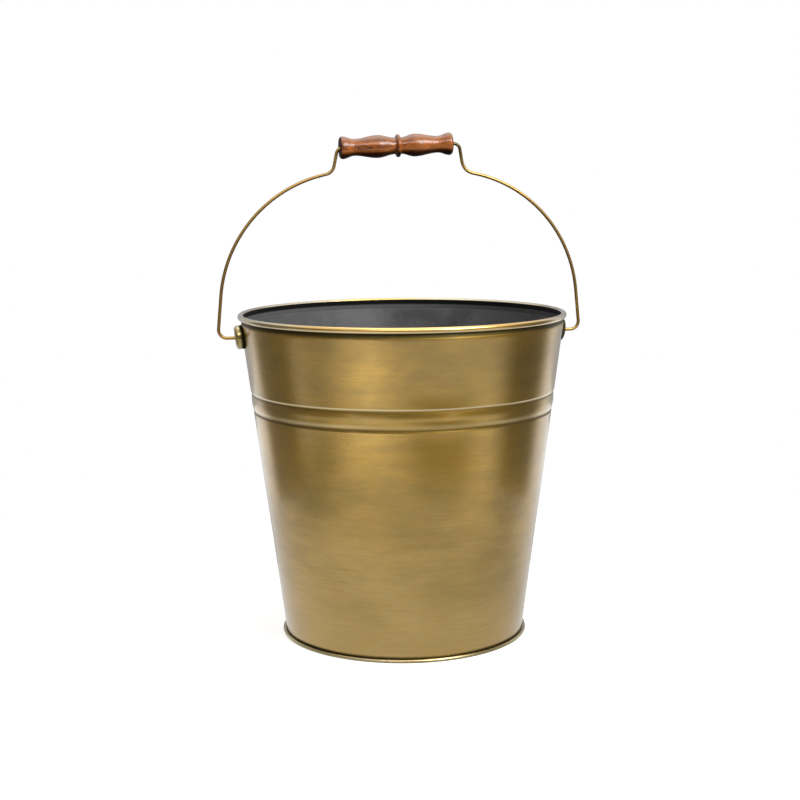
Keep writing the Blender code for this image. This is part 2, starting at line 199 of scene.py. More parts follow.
class LOGBUCKET_PG_base(bpy.types.PropertyGroup):
    """Sizes of the base and the foot ring that is hooked over the wall's flange."""

    recess: size("Recess", 0.0030, "Height of the base above the floor")
    reach: size("Foot reach", 0.0037, "How far the foot ring stands out from the wall's line")
    bend: size("Foot bend", 0.0010, "Bend radius of the foot ring")
    riser_bend: size("Riser bend", 0.0010, "Bend radius where the base turns down into its ring")


class LOGBUCKET_PG_ear(bpy.types.PropertyGroup):
    """Sizes of the pressed cups that hold the bail."""

    radius: size("Radius", 0.01075, "Outside radius of the cup")
    depth: size("Depth", 0.0072, "How far the cup stands off the wall")
    sheet: size("Sheet", 0.0010, "Thickness of the pressed sheet")
    edge: size("Edge", 0.0028, "Outside radius of the rounded edge")
    dome: size("Dome", 0.0004, "How far the face is domed")
    lip: size("Lip", 0.0006, "How far the skirt flares at the wall")
    lip_height: size("Lip height", 0.0012, "Height of the flare")
    sink: size("Sink", 0.0016, "How far the blank runs past its seat before it is trimmed")
    hole: size("Hole", 0.0019, "Radius of the hole for the bail wire")


class LOGBUCKET_PG_bail(bpy.types.PropertyGroup):
    """Sizes of the bent wire."""

    wire: size("Wire", 0.0015, "Radius of the bail wire")
    standoff: size("Standoff", 0.0152, "How far each leg stands off the ear's face")
    leg_bend: size("Leg bend", 0.0076, "Bend radius at the foot of each leg")
    arch_inset: size("Arch inset", 0.0118, "How far each leg leans in on its way up")
    arch_rise: size("Arch rise", 0.1248, "Height of the arch's corners above the ears")
    arch_radius: size("Arch radius", 0.1216, "Bend radius of the arch")
    run_bend: size("Run bend", 0.0058, "Bend radius where the wire enters the grip")
    head: size("Head", 0.0030, "Radius of the upset head inside each ear")
    head_length: size("Head length", 0.0014, "Length of the upset head")
    head_play: size("Head play", 0.0008, "Play between a head and its ear")
    head_taper: size("Head taper", 0.0003, "Length over which a head narrows to the wire")
    neck_bend: pair("Neck foot bends", (0.0095, 0.0130), "Bend radius at the foot of each neck")
    neck_drop: pair("Neck drops", (0.0218, 0.0248), "Height of each neck")
    neck_spread: pair("Neck spreads", (0.0045, 0.0042), "How far each neck spreads on its way down")
    clearance: pair("Run clearances", (0.0017, 0.0065), "Straight wire from the grip to each neck's bend")


class LOGBUCKET_PG_grip(bpy.types.PropertyGroup):
    """Sizes of the turned grip."""

    length: size("Length", 0.1030, "Length of the grip")
    bore: size("Bore", 0.0020, "Radius of the bore")
    mouth: size("Mouth", 0.0032, "Radius of the worn mouth of the bore")
    mouth_depth: size("Mouth depth", 0.0015, "Depth of the bore's mouth")
    end_radius: size("End radius", 0.0101, "Radius of the flared ends")
    end_round: size("End round", 0.0026, "Rounding of the ends")
    swell: size("Swell", 0.0102, "Radius of the two swells")
    neck: size("Neck", 0.0075, "Radius of the two necks")
    groove: size("Groove", 0.0074, "Radius of the grooves beside the middle bead")
    groove_width: size("Groove width", 0.0008, "Width of each groove")
    bead: size("Bead", 0.0103, "Radius of the middle bead")
    bead_width: size("Bead width", 0.0036, "Width of the middle bead")
    bead_offset: size("Bead offset", 0.0018, "How far the bead lies off the grip's middle")
    swell_share: amount("Swell place", 0.33, "Place of each swell as a share of half the length")
    neck_share: amount("Neck place", 0.74, "Place of each neck as a share of half the length")


class LOGBUCKET_PG_finish(bpy.types.PropertyGroup):
    """Colours of the finishes."""

    gold: colour("Gold", (0.575, 0.345, 0.050), "Antique brass where the patina is thin")
    pale: colour("Pale brass", (0.56, 0.37, 0.110), "Antique brass near the foot, where it is duller")
    olive: colour("Olive", (0.33, 0.212, 0.034), "Antique brass where the patina is thick")
    rubbed: colour("Rubbed brass", (0.80, 0.50, 0.13), "Brass on edges that hands and floors rub")
    # This dark colour is tarnish in the hollows, and is also laid as painted shade and as a painted dark
    # reflection line on the rolled rim.
    tarnish_and_painted_shade: colour("Crevice", (0.052, 0.045, 0.019), "Tarnish in creases")
    foot: colour("Foot ring", (0.44, 0.36, 0.15), "Worn brass of the foot ring")
    # Painted highlight colour: pale brass laid as highlights on the rolled rim, along the band and on the
    # foot ring's upper bend.
    painted_sheen_and_wear: colour("Worn brass", (0.80, 0.66, 0.38), "Bare metal on the edges of the band and the foot ring")
    lining: colour("Lining", (0.132, 0.132, 0.134), "Charcoal inside of the bucket")
    lining_dark: colour("Dark lining", (0.045, 0.045, 0.047), "Darker clouds of the inside")
    # Painted light: a paler charcoal on the drawn in stretch, which faces down and gets little light.
    painted_neck_light: colour("Dusty lining", (0.155, 0.155, 0.157), "Dust on the drawn in stretch of the inside")
    # Painted reflection: a pale grey laid on the rolled rim's sides and back, where the rim reflects the
    # pale studio at a grazing angle.
    painted_rim_reflection: colour("Worn rim", (0.51, 0.52, 0.46), "Rolled rim at its two sides, worn pale")
    # Painted shade: black laid on the inside just under the rolled rim.
    painted_rim_shade: colour("Soot", (0.003, 0.003, 0.003), "Black of the inside under the rolled rim")
    wire: colour("Wire", (0.41, 0.25, 0.070), "Bail wire")
    wire_dark: colour("Dark wire", (0.24, 0.15, 0.050), "Tarnish on the bail wire")
    core: colour("Core wire", (0.45, 0.46, 0.47), "Galvanised wire in the rim")
    wood: colour("Wood", (0.48, 0.135, 0.018), "Stained wood between its pores")
    # Painted sheen: a dull greyish brown laid along the top of the grip.
    painted_wood_sheen: colour("Worn wood", (0.19, 0.115, 0.075), "Dull wood along the top of the grip")
    # Also laid as painted shade along the grip's underside.
    dark_grain_and_shade: colour("Dark wood", (0.028, 0.011, 0.005), "Late wood and pores")


class LOGBUCKET_PG_studio(bpy.types.PropertyGroup):
    """The camera, the lamps and the reflecting cards."""

    focal: bpy.props.FloatProperty(
        name="Focal length", description="Focal length on a 36 mm sensor, in millimetres", default=68.77
    )
    distance: size("Camera distance", 1.3964, "Distance of the camera from the bucket's axis")
    camera_height: size("Camera height", 0.4262, "Height of the camera above the floor")
    azimuth: turn("Camera azimuth", -10.0, "Direction of the camera, from the front to the right")
    pitch: turn("Camera pitch", 8.587, "How far the camera looks down")
    yaw: turn("Camera yaw", -0.099, "How far the camera looks to the right of the bucket's axis")
    roll: turn("Camera roll", -0.459, "How far the camera is rolled")
    ambient: amount("Ambient", 0.28, "Strength of the light from all round")
    floor_albedo: amount("Floor albedo", 0.80, "Brightness of the floor")
    floor_lift: amount("Floor lift", 0.76, "Light added to the floor for the camera")
    floor_bounce: amount("Floor bounce", 0.25, "Brightness of the floor as a light from below")
    shadow_reach: size("Shadow reach", 0.7, "Distance at which the floor has turned plain white")


def deselect():
    """Leave edit mode, with nothing selected."""
    if bpy.context.object and bpy.context.object.mode != "OBJECT":
        bpy.ops.object.mode_set(mode="OBJECT")
    bpy.ops.object.select_all(action="DESELECT")


def named(name):
    """Give the active object and its data a name."""
    item = bpy.context.object
    item.name = name
    item.data.name = name
    return item


def added(operator, name, **settings):
    """Run an operator that adds an object, and name what it adds."""
    deselect()
    operator(**settings)
    return named(name)


def take(item):
    """Make an object the only selected one, and active."""
    deselect()
    item.select_set(True)
    bpy.context.view_layer.objects.active = item


def settle(item):
    """Move an object's place into its mesh, so that the object sits at the origin."""
    take(item)
    bpy.ops.object.transform_apply(location=True, rotation=True, scale=True)


def modify(item, kind, **settings):
    """Add a modifier with its settings and apply it."""
    take(item)
    bpy.ops.object.modifier_add(type=kind)
    modifier = item.modifiers[-1]
    for name, value in settings.items():
        setattr(modifier, name, value)
    bpy.ops.object.modifier_apply(modifier=modifier.name)


def smooth(item):
    """Shade an object smooth, except along its sharp edges."""
    take(item)
    bpy.ops.object.shade_smooth_by_angle(angle=SHARP_ANGLE)


def draw_path(name, points):
    """Draw a line of edges from one point, and stay in edit mode."""
    item = added(bpy.ops.mesh.primitive_plane_add, name, size=CUT_OVERRUN, location=points[0])
    settle(item)
    bpy.ops.object.mode_set(mode="EDIT")
    bpy.ops.mesh.select_mode(type="VERT")
    bpy.ops.mesh.select_all(action="SELECT")
    bpy.ops.mesh.merge(type="CENTER")
    for before, after in zip(points, points[1:]):
        bpy.ops.mesh.extrude_vertices_move(TRANSFORM_OT_translate={"value": after - before})
    return item


def weld():
    """In edit mode, merge the vertices that share a place."""
    bpy.ops.mesh.select_all(action="SELECT")
    bpy.ops.mesh.remove_doubles(threshold=MERGE_DISTANCE)


def turned(name, outline, steps):
    """Spin an outline of (radius, height) once round Z."""
    item = draw_path(name, [Vector((radius, 0, height)) for radius, height in outline])
    bpy.ops.mesh.select_all(action="SELECT")
    bpy.ops.mesh.spin(steps=steps, angle=math.tau, center=(0, 0, 0), axis=(0, 0, 1))
    weld()
    bpy.ops.mesh.normals_make_consistent(inside=False)
    bpy.ops.object.mode_set(mode="OBJECT")
    return item


def pressed(name, path, steps, sheet):
    """Spin the middle of a sheet once round Z and give it its thickness."""
    item = turned(name, path, steps)
    modify(item, "SOLIDIFY", thickness=sheet, offset=0.0, use_even_offset=True)
    return item


def select_faces(item, wanted):
    """Enter edit mode with only the faces selected whose middle and normal pass a test."""
    take(item)
    bpy.ops.object.mode_set(mode="EDIT")
    bpy.ops.mesh.select_mode(type="FACE")
    bpy.ops.mesh.select_all(action="DESELECT")
    mesh = bmesh.from_edit_mesh(item.data)
    for face in mesh.faces:
        face.select_set(bool(wanted(face.calc_center_median(), face.normal)))
    bmesh.update_edit_mesh(item.data)


def select_vertices(item, wanted):
    """In edit mode, select the vertices whose place and normal pass a test."""
    bpy.ops.mesh.select_mode(type="VERT")
    mesh = bmesh.from_edit_mesh(item.data)
    for vertex in mesh.verts:
        vertex.select_set(bool(wanted(vertex.co, vertex.normal)))
    mesh.select_flush(True)
    bmesh.update_edit_mesh(item.data)


def paint_faces(item, material, wanted):
    """Give the faces that pass a test a material of their own."""
    item.data.materials.append(material)
    select_faces(item, wanted)
    item.active_material_index = len(item.data.materials) - 1
    bpy.ops.object.material_slot_assign()
    bpy.ops.object.mode_set(mode="OBJECT")


def outwards(place, normal):
    """How far a normal points away from the bucket's axis."""
    return Vector((place.x, place.y, 0)).normalized().dot(normal)


def angle_from(place, middle):
    """Signed angle of a place round the bucket's axis, from a middle angle."""
    return math.remainder(math.atan2(place.y, place.x) - middle, math.tau)


def rounded(corners):
    """Points of a path through (across, up) corners.

    A corner may also have its bend radius, and after it the bend's largest step in degrees.
    """
    corners = [(*corner, *(0, BEND_STEP)[len(corner) - 2:]) for corner in corners]
    points = [Vector(corner[:2]) for corner in corners]
    last = len(points) - 1
    turns = [0.0] * len(points)
    for i in range(1, last):
        turns[i] = -(points[i] - points[i - 1]).angle_signed(points[i + 1] - points[i])
    reaches = [corner[2] * math.tan(abs(bend) / 2) for corner, bend in zip(corners, turns)]
    room = [1.0] * len(points)
    for i in range(last):
        fit = (points[i + 1] - points[i]).length / max(reaches[i] + reaches[i + 1], MERGE_DISTANCE)
        room[i] = min(room[i], fit)
        room[i + 1] = min(room[i + 1], fit)
    path = [points[0]]
    for i in range(1, last):
        path += bend(points[i - 1], points[i], turns[i], reaches[i] * room[i], corners[i][3])
    path.append(points[last])
    apart = [(point - before).length > MERGE_DISTANCE for before, point in zip(path, path[1:])]
    return [point for point, keep in zip(path, [True] + apart) if keep]


def bend(before, corner, angle, reach, step):
    """Points of the arc that rounds one corner of a path."""
    if reach == 0 or angle == 0:
        return [corner]
    heading = (corner - before).normalized()
    start = corner - heading * reach
    radius = reach / math.tan(abs(angle) / 2)
    centre = start + Vector((-heading.y, heading.x)) * math.copysign(radius, angle)
    count = max(2, math.ceil(math.degrees(abs(angle)) / step))
    turns = [Matrix.Rotation(angle * i / count, 2) for i in range(count + 1)]
    return [centre + rotation @ (start - centre) for rotation in turns]


def arc(centre, radius, start, sweep, step=BEND_STEP):
    """Points on a clockwise arc, with its angles in degrees."""
    count = math.ceil(sweep / step)
    angles = [math.radians(start - sweep * i / count) for i in range(count + 1)]
    return [centre + radius * Vector((math.cos(a), math.sin(a))) for a in angles]


def wall_radius(wall, height):
    """Radius of the plain wall's outer face at a height."""
    return wall.foot_radius + (wall.top_radius - wall.foot_radius) * height / wall.height


def taper(wall):
    """Angle between the wall and the vertical."""
    return math.atan2(wall.top_radius - wall.foot_radius, wall.height)


def bead_radius(wall):
    """Outside radius of the rolled rim."""
    return wall.rim_wire + wall.gap + wall.sheet


def rim_centre(wall):
    """Centre of the wire in the rolled rim, as (radius, height)."""
    return Vector((wall.top_radius - wall.rim_inset, wall.height - bead_radius(wall)))


def wall_middle(wall, height, relief=0.0):
    """Point in the middle of the wall's sheet at a height."""
    depth = wall.sheet / 2 / math.cos(taper(wall))
    return Vector((wall_radius(wall, height) + relief - depth, height))


def flange_height(wall):
    """Height of the middle of the wall's foot flange."""
    return wall.sheet + wall.gap + wall.sheet / 2


def band_ends(wall):
    """Heights of the grooves below and above the swaged band."""
    bottom = wall.height - wall.band_drop - wall.band_width / 2
    return bottom, bottom + wall.band_width


def band_path(wall):
    """Corners of the sheet through the swaged band, a bead between two grooves."""
    bottom, top = band_ends(wall)
    corners = [(*wall_middle(wall, bottom - wall.groove_flank), wall.groove_bend)]
    for i in range(BAND_STEPS + 1):
        share = i / BAND_STEPS
        groove = wall.lower_groove + (wall.upper_groove - wall.lower_groove) * share
        swell = wall.bead_rise * math.sin(math.pi * share)
        radius = wall.groove_bend if i in (0, BAND_STEPS) else 0
        place = wall_middle(wall, bottom + wall.band_width * share, swell - groove)
        corners.append((*place, radius))
    corners.append((*wall_middle(wall, top + wall.groove_flank), wall.groove_bend))
    return corners


def plain_rings(wall, low, high, count):
    """Corners on a plain stretch of the wall, between two heights and without them."""
    return [wall_middle(wall, low + (high - low) * i / count) for i in range(1, count)]


def wall_path(wall):
    """The middle of the wall's sheet, from the edge of its foot flange to the end of its curl."""
    flange = flange_height(wall)
    seam_foot = wall.seam_lift + wall.seam_step
    seam_head = wall.height - wall.seam_drop - wall.seam_step
    bottom, top = band_ends(wall)
    centre = rim_centre(wall)
    curl = bead_radius(wall) - wall.sheet / 2
    inner = centre.x - curl
    corners = [
        (wall.foot_radius + wall.flange, flange),
        (*wall_middle(wall, flange), wall.flange_bend),
        wall_middle(wall, wall.seam_lift),
        wall_middle(wall, seam_foot),
        *plain_rings(wall, seam_foot, bottom - wall.groove_flank, WALL_RINGS),
        *band_path(wall),
        *plain_rings(wall, top + wall.groove_flank, seam_head, WALL_RINGS // 3),
        wall_middle(wall, seam_head),
        wall_middle(wall, wall.height - wall.seam_drop),
        (*wall_middle(wall, wall.height - wall.neck), wall.neck_bend),
        (inner, centre.y - wall.neck_bend, wall.neck_bend),
        (inner, centre.y),
    ]
    return rounded(corners)[:-1] + arc(centre, curl, 180, CURL_SWEEP)


def cut_across(item, angle, wanted):
    """Cut the faces that pass a test with an upright plane through the bucket's axis."""
    select_faces(item, wanted)
    normal = (-math.sin(angle), math.cos(angle), 0)
    bpy.ops.mesh.bisect(plane_co=(0, 0, 0), plane_no=normal, threshold=MERGE_DISTANCE)


def raise_seam(item, wall):
    """Lift the outer face along the side seam, with a narrow step at each side of it."""
    half = wall.seam_width / 2 / wall.top_radius
    edge = half + wall.seam_step / wall.top_radius
    low = wall.seam_lift
    high = wall.height - wall.seam_drop

    def beside_seam(place, normal):
        near = abs(angle_from(place, wall.seam_turn)) < 3 * edge
        return near and low < place.z < high and outwards(place, normal) > 0

    def on_seam(place, normal):
        near = abs(angle_from(place, wall.seam_turn)) < (half + edge) / 2
        inside = low + wall.seam_step / 2 < place.z < high - wall.seam_step / 2
        return near and inside and outwards(place, normal) > 0

    for offset in (-edge, -half, half, edge):
        cut_across(item, wall.seam_turn + offset, beside_seam)
    select_vertices(item, on_seam)
    lift = wall.seam_step * Vector((math.cos(wall.seam_turn), math.sin(wall.seam_turn), 0))
    bpy.ops.transform.translate(value=lift)
    bpy.ops.object.mode_set(mode="OBJECT")


def cut_rim_joint(item, wall):
    """Press a narrow groove into the rolled rim where its ends meet."""
    centre = rim_centre(wall)
    half = wall.joint_width / 2 / centre.x
    heading = Vector((math.cos(wall.joint_turn), math.sin(wall.joint_turn), 0))
    middle = heading * centre.x + Vector((0, 0, centre.y))

    def on_bead(place, normal):
        near = abs(angle_from(place, wall.joint_turn)) < 8 * half
        spot = Vector((math.hypot(place.x, place.y), place.z)) - centre
        return near and spot.length > bead_radius(wall) - wall.sheet / 2 and spot.y > -spot.x / 2

    def in_joint(place, normal):
        return on_bead(place, normal) and abs(angle_from(place, wall.joint_turn)) < half

    for offset in (-2 * half, -half / 2, half / 2, 2 * half):
        cut_across(item, wall.joint_turn + offset, on_bead)
    select_vertices(item, in_joint)
    shrink = 1 - wall.joint_depth
    bpy.ops.transform.resize(value=(shrink,) * 3, center_override=middle)
    bpy.ops.object.mode_set(mode="OBJECT")


def base_path(wall, base):
    """The middle of the base's sheet, from its centre to the lip hooked over the wall's flange."""
    floor = base.recess + wall.sheet / 2
    riser = wall_middle(wall, flange_height(wall)).x - wall.sheet - wall.gap
    ring = wall.foot_radius + base.reach - wall.sheet / 2
    hook = flange_height(wall) + wall.sheet + wall.gap
    lip = wall_radius(wall, hook) + wall.sheet / 2 + wall.gap
    centre = [(riser * i / BASE_RINGS, floor) for i in range(BASE_RINGS)]
    corners = [
        (riser, floor, base.riser_bend),
        (riser, wall.sheet / 2, base.riser_bend),
        (ring, wall.sheet / 2, base.bend),
        (ring, hook, base.bend),
        (lip, hook),
    ]
    return rounded(centre + corners)


def ear_seat(wall, ear):
    """Radius and height of the middle of an ear's seat on the wall."""
    height = EAR_HEIGHT + ear.depth * math.sin(taper(wall))
    return Vector((wall_radius(wall, height), height))


def ear_face(wall, ear):
    """How far the middle of an ear's outer face lies from the bucket's centre plane."""
    return ear_seat(wall, ear).x + ear.depth * math.cos(taper(wall))


def ear_path(ear):
    """The middle of the pressed sheet, from the domed face over the edge to the flared lip."""
    skirt = ear.radius - ear.sheet / 2
    face = ear.depth - ear.sheet / 2
    corners = [
        (0, face),
        (skirt, face - ear.dome, ear.edge - ear.sheet / 2),
        (skirt, ear.lip_height, ear.lip_height),
        (skirt + ear.lip, -ear.sink),
    ]
    return rounded(corners)


def seat_cutter(wall, ear):
    """The wall's outer face with its seam, grown by the fitting gap."""
    low = EAR_HEIGHT - ear.radius - CUT_OVERRUN
    high = EAR_HEIGHT + ear.radius + CUT_OVERRUN
    gap = wall.gap / math.cos(taper(wall))
    cutter = added(
        bpy.ops.mesh.primitive_cone_add, "seat_cutter",
        vertices=WALL_STEPS,
        radius1=wall_radius(wall, low) + gap,
        radius2=wall_radius(wall, high) + gap,
        depth=high - low,
        location=(0, 0, (low + high) / 2),
    )
    settle(cutter)
    raise_seam(cutter, wall)
    return cutter


def hole_cutter(wall, ear):
    """A rod along the bail's axis."""
    return added(
        bpy.ops.mesh.primitive_cylinder_add, "hole_cutter",
        vertices=EAR_STEPS,
        radius=ear.hole,
        depth=2 * (ear_face(wall, ear) + CUT_OVERRUN),
        location=(0, 0, EAR_HEIGHT),
        rotation=(0, math.pi / 2, 0),
    )


def bail_heads(wall, ear, bail):
    """Stations of one upset head, from its tip outwards: (place, share of the wire's radius)."""
    shoulder = ear_face(wall, ear) - ear.sheet - bail.head_play
    thick = bail.head / bail.wire
    tip = shoulder - bail.head_length
    return [
        (tip, thick * HEAD_TIP),
        (tip + bail.head_taper, thick),
        (shoulder, thick),
        (shoulder + bail.head_taper, 1.0),
    ]


def half_bail(wall, ear, bail, grip, side):
    """Corners of one side of the bail, from its leg to the run through the grip."""
    pick = max(side, 0)
    leg = side * (ear_face(wall, ear) + bail.standoff)
    arch = leg - side * bail.arch_inset
    reach = side * (grip.length / 2 + bail.clearance[pick])
    run = Vector((GRIP_MIDDLE.x, GRIP_MIDDLE.z)) + Vector((GRIP_LINE.x, GRIP_LINE.z)) * reach
    neck = run + Vector((side * bail.neck_spread[pick], -bail.neck_drop[pick]))
    return [
        (leg, EAR_HEIGHT, bail.leg_bend),
        (arch, EAR_HEIGHT + bail.arch_rise, bail.arch_radius, ARCH_STEP),
        (*neck, bail.neck_bend[pick]),
        (*run, bail.run_bend),
    ]


def bail_stations(wall, ear, bail, grip):
    """Points of the bail and the share of the wire's radius at each."""
    heads = bail_heads(wall, ear, bail)
    bends = [half_bail(wall, ear, bail, grip, side) for side in (-1, 1)]
    end = heads[-1][0]
    corners = [(-end, EAR_HEIGHT)] + bends[0] + bends[1][::-1] + [(end, EAR_HEIGHT)]
    points = [(-place, EAR_HEIGHT) for place, share in heads[:-1]]
    points += [tuple(point) for point in rounded(corners)]
    points += [(place, EAR_HEIGHT) for place, share in heads[-2::-1]]
    shares = [share for place, share in heads[:-1]]
    shares += [1.0] * (len(points) - 2 * len(shares)) + shares[::-1]
    return [Vector((across, 0, up)) for across, up in points], shares


def eased(start, end, steps):
    """Points that flow from one (place, radius) to the next, without the first."""
    points = []
    for i in range(1, steps + 1):
        ease = (1 - math.cos(math.pi * i / steps)) / 2
        place = start[0] + (end[0] - start[0]) * i / steps
        points.append((place, start[1] + (end[1] - start[1]) * ease))
    return points


def half_grip(grip, side):
    """The grip's outline from the groove beside its bead to its end face, on one side."""
    half = grip.length / 2
    groove = side * grip.bead_offset + grip.bead_width / 2 + grip.groove_width
    swell = (half * grip.swell_share, grip.swell)
    neck = (half * grip.neck_share, grip.neck)
    flare = (half - grip.end_round, grip.end_radius)
    points = [(groove, grip.groove)]
    for corner in (swell, neck, flare):
        points += eased(points[-1], corner, EASE_STEPS)
    middle = Vector((half - grip.end_round, grip.end_radius - grip.end_round))
    points += [tuple(point) for point in arc(middle, grip.end_round, 90, 90)[1:]]
    return [(side * place, radius) for place, radius in points]


def grip_outline(grip):
    """Section of the bored grip as a closed loop of (radius, place along the wire)."""
    half = grip.length / 2
    bead = Vector((grip.bead_offset, grip.bead - grip.bead_width / 2))
    rounding = [tuple(point) for point in arc(bead, grip.bead_width / 2, 180, 180, 2 * BEND_STEP)]
    outside = half_grip(grip, -1)[::-1] + rounding + half_grip(grip, 1)
    mouth_top = [(half, grip.mouth), (half - grip.mouth_depth, grip.bore)]
    mouth_bottom = [(-place, radius) for place, radius in mouth_top[::-1]]
    loop = outside + mouth_top + mouth_bottom
    return [(radius, place) for place, radius in loop + loop[:1]]


def maths_operator(operation):
    """The method of an operator that adds a Math node, and its reflected method."""

    def forward(self, other):
        return self.maths(operation, self, other)

    def reflected(self, other):
        return self.maths(operation, other, self)

    return forward, reflected


class Value:
    """A number socket of a shader, with sums that add Math nodes."""

    def __init__(self, finish, socket):
        self.finish = finish
        self.socket = socket

    def maths(self, operation, *values):
        """What a Math node makes of some numbers."""
        node = self.finish.node("ShaderNodeMath", {"operation": operation}, dict(enumerate(values)))
        return Value(self.finish, node.outputs[0])

    __add__, __radd__ = maths_operator("ADD")
    __sub__, __rsub__ = maths_operator("SUBTRACT")
    __mul__, __rmul__ = maths_operator("MULTIPLY")

    def larger(self, other):
        """The larger of two numbers."""
        return self.maths("MAXIMUM", self, other)

    def unsigned(self):
        """The number without its sign."""
        return self.maths("ABSOLUTE", self)


class Finish:
    """The nodes of one material or of the world."""

    def __init__(self, tree):
        self.tree = tree
        tree.nodes.clear()

    def node(self, kind, settings=None, sockets=None):
        """Add a node, apply its settings, then set or link its sockets."""
        node = self.tree.nodes.new(kind)
        for name, value in (settings or {}).items():
            setattr(node, name, value)
        for key, value in (sockets or {}).items():
            socket = self.pick(node.inputs, key)
            value = value.socket if isinstance(value, Value) else value
            if isinstance(value, bpy.types.NodeSocket):
                self.tree.links.new(value, socket)
            else:
                socket.default_value = value
        return node

    def pick(self, sockets, key):
        """The socket with an index, or the enabled one with a name."""
        if isinstance(key, int):
            return sockets[key]
        return next(socket for socket in sockets if socket.name == key and socket.enabled)

    def coordinates(self, space="Object"):
        """A point's place, in metres or, for Generated, as shares of the object's box."""
        return self.node("ShaderNodeTexCoord").outputs[space]

    def noise(self, scale, detail, rough, distortion=0.0, offset=(0, 0, 0)):
        """Noise over the object's coordinates, with a scale for each axis."""
        sockets = {"Vector": self.coordinates(), "Scale": scale, "Location": offset}
        vector = self.node("ShaderNodeMapping", None, sockets).outputs["Vector"]
        sockets = {
            "Vector": vector, "Scale": 1.0, "Detail": detail, "Roughness": rough,
            "Distortion": distortion,
        }
        return Value(self, self.node("ShaderNodeTexNoise", None, sockets).outputs[0])

    def ramp(self, value, low, high):
        """A smooth step from 0 at low to 1 at high."""
        sockets = {"Value": value, "From Min": low, "From Max": high}
        node = self.node("ShaderNodeMapRange", {"interpolation_type": "SMOOTHSTEP"}, sockets)
        return Value(self, node.outputs[0])

    def along(self, axis, space="Object"):
        """The place along one axis."""
        node = self.node("ShaderNodeSeparateXYZ", None, {0: self.coordinates(space)})
        return Value(self, node.outputs[axis])

    def height(self):
        """Height above the floor."""
        return self.along("Z")

    def sideways(self):
        """Distance from the plane through the bucket's axis and its front."""
        return self.along("X").unsigned()

    def from_origin(self):
        """Distance from the object's origin."""
        sockets = {0: self.coordinates()}
        node = self.node("ShaderNodeVectorMath", {"operation": "LENGTH"}, sockets)
        return Value(self, node.outputs["Value"])

    def band(self, value, middle, half, soft):
        """A mask that is 1 within half of a middle, with soft edges."""
        rise = self.ramp(value, middle - half - soft, middle - half + soft)
        return rise * (1 - self.ramp(value, middle + half - soft, middle + half + soft))

    def mix(self, share, first, second):
        """A colour between two colours."""
        sockets = {"Factor": share, "A": opaque(first), "B": opaque(second)}
        node = self.node("ShaderNodeMix", {"data_type": "RGBA"}, sockets)
        return self.pick(node.outputs, "Result")

    def bump(self, height, distance, strength=1.0, normal=None):
        """A normal that is bent by a height."""
        sockets = {"Height": height, "Distance": distance, "Strength": strength}
        if normal:
            sockets["Normal"] = normal
        return self.node("ShaderNodeBump", None, sockets).outputs["Normal"]

    def matt(self, brightness):
        """A matt grey shader."""
        sockets = {"Color": opaque((brightness,) * 3)}
        return self.node("ShaderNodeBsdfDiffuse", None, sockets).outputs[0]

    def glow(self, strength, tint=(1, 1, 1)):
        """A shader that gives light."""
        sockets = {"Color": opaque(tint), "Strength": strength}
        return self.node("ShaderNodeEmission", None, sockets).outputs[0]

    def blend(self, share, first, second):
        """A shader between two shaders."""
        return self.node("ShaderNodeMixShader", None, {0: share, 1: first, 2: second}).outputs[0]

    def end(self, shader, kind="ShaderNodeOutputMaterial"):
        """Join a shader to the output."""
        self.node(kind, None, {"Surface": shader})

    def principled(self, **sockets):
        """End with the Principled shader, its sockets named in lower case."""
        names = {name.replace("_", " ").title(): value for name, value in sockets.items()}
        names = {name.replace("Ior", "IOR"): value for name, value in names.items()}
        if not isinstance(names["Base Color"], bpy.types.NodeSocket):
            names["Base Color"] = opaque(names["Base Color"])
        self.end(self.node("ShaderNodeBsdfPrincipled", None, names).outputs["BSDF"])


def opaque(value):
    """A colour with its alpha, or a socket as it is."""
    return value if isinstance(value, bpy.types.NodeSocket) else (*value, 1.0)


def new_finish(name):
    """A new material and the class that fills its nodes."""
    material = bpy.data.materials.new(name)
    material.use_nodes = True
    return material, Finish(material.node_tree)


